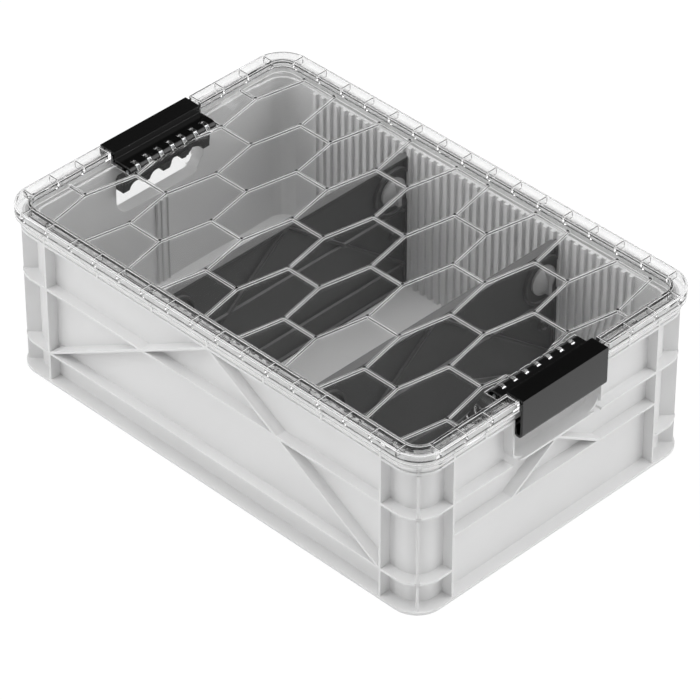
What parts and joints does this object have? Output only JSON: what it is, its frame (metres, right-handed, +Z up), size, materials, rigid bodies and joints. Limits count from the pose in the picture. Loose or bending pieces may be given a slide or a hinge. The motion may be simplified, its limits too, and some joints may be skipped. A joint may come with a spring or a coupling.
{
  "type": "storage crate",
  "caption": "Ribbed stacking crate with a clear honeycomb lid, swing latches at the ends, hand holes and lockable dividers.",
  "frame": {"origin": "centre of the base, on the surface the crate stands on", "axes": "+X along the length towards the right end, +Y towards the back, +Z up"},
  "size_m": [0.6172, 0.413, 0.21],
  "materials": {
    "crate_grey": "satin moulded",
    "lid_clear": "clear gloss",
    "latch_black": "satin",
    "grip_black": "satin",
    "divider_grey": "satin moulded",
    "knob_grey": "gloss",
    "pin_steel": "drawn wire"
  },
  "bodies": {
    "crate": {"crate_tub": "crate_grey", "grip_left": "grip_black", "grip_right": "grip_black", "divider_left": "divider_grey", "divider_right": "divider_grey"},
    "lid": {"lid": "lid_clear", "hinge_pin_left": "pin_steel", "hinge_pin_right": "pin_steel"},
    "latch_left": {"latch_left": "latch_black"},
    "latch_right": {"latch_right": "latch_black"},
    "lock_left_front": {"lock_knob_left_front": "knob_grey", "lock_cam_left_front": "knob_grey"},
    "lock_left_back": {"lock_knob_left_back": "knob_grey", "lock_cam_left_back": "knob_grey"},
    "lock_right_front": {"lock_knob_right_front": "knob_grey", "lock_cam_right_front": "knob_grey"},
    "lock_right_back": {"lock_knob_right_back": "knob_grey", "lock_cam_right_back": "knob_grey"}
  },
  "joints": [
    {"name": "lid_lift", "type": "slide", "parent": "crate", "child": "lid", "axis": [0, 0, 1], "range_m": [0, 0.2]},
    {"name": "latch_left_swing", "type": "hinge", "parent": "lid", "child": "latch_left", "pos_m": [-0.268, 0, 0.193], "axis": [0, 1, 0], "range_deg": [0, 100]},
    {"name": "latch_right_swing", "type": "hinge", "parent": "lid", "child": "latch_right", "pos_m": [0.268, 0, 0.193], "axis": [0, -1, 0], "range_deg": [0, 100]},
    {"name": "lock_left_front_turn", "type": "hinge", "parent": "crate", "child": "lock_left_front", "pos_m": [-0.0935, -0.1602, 0.1435], "axis": [-1, 0, 0], "range_deg": [0, 90]},
    {"name": "lock_left_back_turn", "type": "hinge", "parent": "crate", "child": "lock_left_back", "pos_m": [-0.0935, 0.1602, 0.1435], "axis": [1, 0, 0], "range_deg": [0, 90]},
    {"name": "lock_right_front_turn", "type": "hinge", "parent": "crate", "child": "lock_right_front", "pos_m": [0.1265, -0.1602, 0.1435], "axis": [-1, 0, 0], "range_deg": [0, 90]},
    {"name": "lock_right_back_turn", "type": "hinge", "parent": "crate", "child": "lock_right_back", "pos_m": [0.1265, 0.1602, 0.1435], "axis": [1, 0, 0], "range_deg": [0, 90]}
  ]
}
